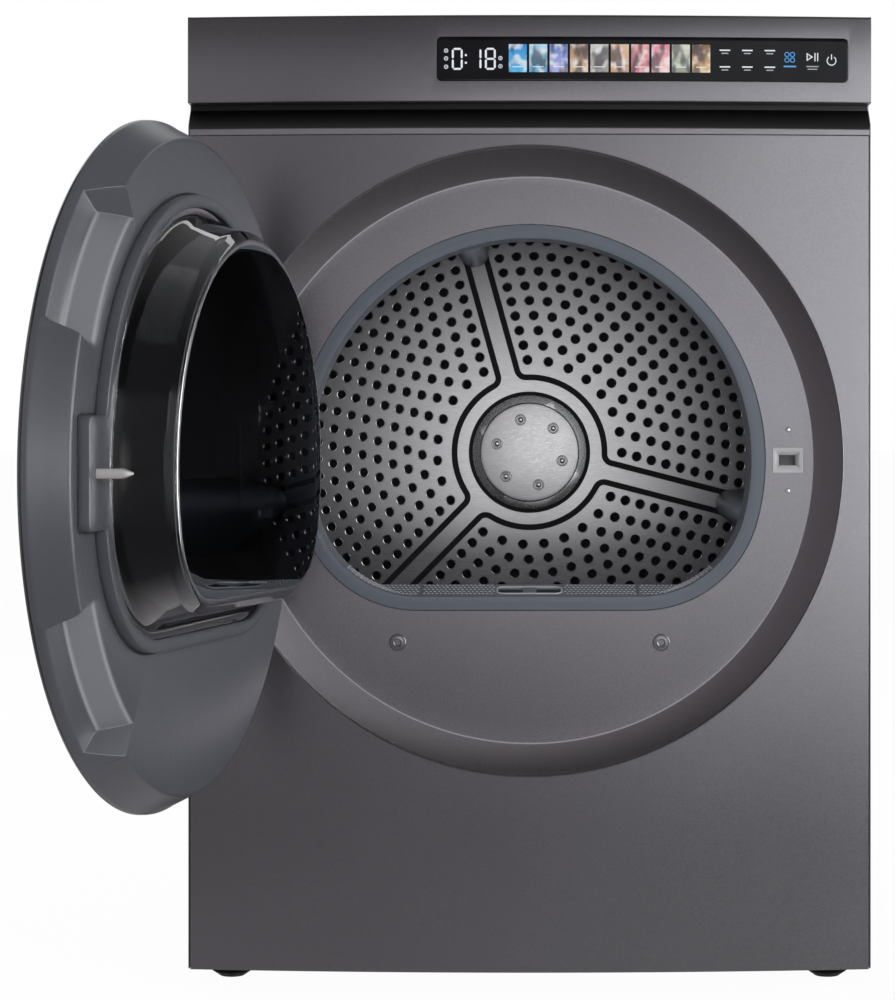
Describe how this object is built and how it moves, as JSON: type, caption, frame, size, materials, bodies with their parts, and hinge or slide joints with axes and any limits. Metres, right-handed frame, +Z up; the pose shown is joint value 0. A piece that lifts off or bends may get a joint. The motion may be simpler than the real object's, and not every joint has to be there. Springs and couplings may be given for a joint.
{
  "type": "clothes dryer",
  "caption": "Front-loading tumble dryer with a bowed grey front, touch display, round door open on its left hinge, perforated steel drum and lint filter.",
  "frame": {"origin": "on the floor, at the bottom centre of the bounding box of the whole object with its door open as stored; the cabinet's middle plane is X = 0.030 m and the front panel's side edges are at Y = -0.019 m", "axes": "+Z up, -Y out of the front towards the user, +X to the user's right when facing the front"},
  "size_m": [0.6546, 1.0897, 0.845],
  "materials": {
    "front_paint": "satin metallic grey paint",
    "side_paint": "satin metallic grey paint",
    "fascia_paint": "satin metallic grey paint on plastic",
    "dark_trim": "satin black",
    "display_glass": "gloss black",
    "circuit": "matt",
    "bezel_plastic": "fine satin",
    "galvanised": "plain galvanised",
    "drum_steel": "brushed stainless",
    "felt": "felt",
    "black_rubber": "matt",
    "black_plastic": "matt",
    "grey_plastic": "matt",
    "filter_cloth": "fine mesh",
    "pin_steel": "bright",
    "strike_metal": "bright",
    "motor_metal": "as cast",
    "black_paint": "satin",
    "fin_metal": "fins",
    "copper_pipe": "drawn copper",
    "worktop": "painted board",
    "door_gloss": "gloss black",
    "liner_plastic": "fine satin",
    "bowl_glass": "smoked"
  },
  "bodies": {
    "cabinet": {"base_pan": "black_plastic", "left_side_panel": "side_paint", "right_side_panel": "side_paint", "rear_panel": "galvanised", "top_panel": "worktop", "front_panel": "front_paint", "control_fascia": "fascia_paint", "fascia_groove": "dark_trim", "display_glass": "display_glass", "display_board": "circuit", "control_board": "black_plastic", "opening_bezel": "bezel_plastic", "front_bulkhead": "galvanised", "seal_collar": "galvanised", "front_seal": "felt", "rear_seal": "felt", "filter_housing": "grey_plastic", "latch_body": "grey_plastic", "cabinet_screws": "pin_steel", "panel_caps": "grey_plastic", "hinge_bracket": "pin_steel", "hinge_pin": "pin_steel", "rear_bulkhead": "black_paint", "rear_bearing": "motor_metal", "roller_axles": "pin_steel", "motor_body": "motor_metal", "drive_belt": "black_rubber", "fan_housing": "black_plastic", "compressor": "black_paint", "compressor_mounts": "black_rubber", "evaporator": "fin_metal", "condenser": "fin_metal", "refrigerant_pipes": "copper_pipe", "duct_cover": "black_plastic", "sump_pump": "grey_plastic", "drain_outlet": "grey_plastic", "power_inlet": "black_plastic"},
    "door": {"door_skin": "door_gloss", "door_liner": "liner_plastic", "door_bowl": "bowl_glass", "door_gasket": "black_rubber", "door_strike": "strike_metal", "hinge_leaf": "pin_steel"},
    "drum": {"drum_front": "drum_steel", "drum_shell": "drum_steel", "drum_back": "drum_steel", "drum_lifters": "bezel_plastic", "drum_hub": "drum_steel", "drum_rivets": "pin_steel", "drum_shaft": "pin_steel"},
    "left_roller": {"left_roller": "black_rubber"},
    "right_roller": {"right_roller": "black_rubber"},
    "motor_rotor": {"motor_shaft": "pin_steel", "fan_impeller": "grey_plastic"},
    "lint_filter": {"filter_frame": "bezel_plastic", "filter_mesh": "filter_cloth"},
    "foot_front_left": {"foot_front_left": "black_plastic"},
    "foot_front_right": {"foot_front_right": "black_plastic"},
    "foot_rear_left": {"foot_rear_left": "black_plastic"},
    "foot_rear_right": {"foot_rear_right": "black_plastic"}
  },
  "joints": [
    {"name": "door_hinge", "type": "hinge", "parent": "cabinet", "child": "door", "pos_m": [-0.2064, -0.051, 0.459], "axis": [0, 0, -1], "range_deg": [-103.1, 8.9]},
    {"name": "drum_spin", "type": "hinge", "parent": "cabinet", "child": "drum", "pos_m": [0.03, 0.231, 0.459], "axis": [0, 1, 0], "continuous": true},
    {"name": "left_roller_spin", "type": "hinge", "parent": "cabinet", "child": "left_roller", "pos_m": [-0.16166, 0.077, 0.21369], "axis": [0, 1, 0], "continuous": true},
    {"name": "right_roller_spin", "type": "hinge", "parent": "cabinet", "child": "right_roller", "pos_m": [0.22166, 0.077, 0.21369], "axis": [0, 1, 0], "continuous": true},
    {"name": "motor_spin", "type": "hinge", "parent": "cabinet", "child": "motor_rotor", "pos_m": [0.2, 0.281, 0.11], "axis": [0, 1, 0], "continuous": true},
    {"name": "lint_filter_lift", "type": "slide", "parent": "cabinet", "child": "lint_filter", "axis": [0, 0, 1], "range_m": [0, 0.15]},
    {"name": "foot_front_left_screw", "type": "slide", "parent": "cabinet", "child": "foot_front_left", "axis": [0, 0, -1], "range_m": [0, 0.012]},
    {"name": "foot_front_right_screw", "type": "slide", "parent": "cabinet", "child": "foot_front_right", "axis": [0, 0, -1], "range_m": [0, 0.012]},
    {"name": "foot_rear_left_screw", "type": "slide", "parent": "cabinet", "child": "foot_rear_left", "axis": [0, 0, -1], "range_m": [0, 0.012]},
    {"name": "foot_rear_right_screw", "type": "slide", "parent": "cabinet", "child": "foot_rear_right", "axis": [0, 0, -1], "range_m": [0, 0.012]}
  ],
  "couplings": [
    {"joint": "left_roller_spin", "follows": "drum_spin", "ratio": -9.3667},
    {"joint": "right_roller_spin", "follows": "drum_spin", "ratio": -9.3667},
    {"joint": "motor_spin", "follows": "drum_spin", "ratio": 23.417}
  ]
}
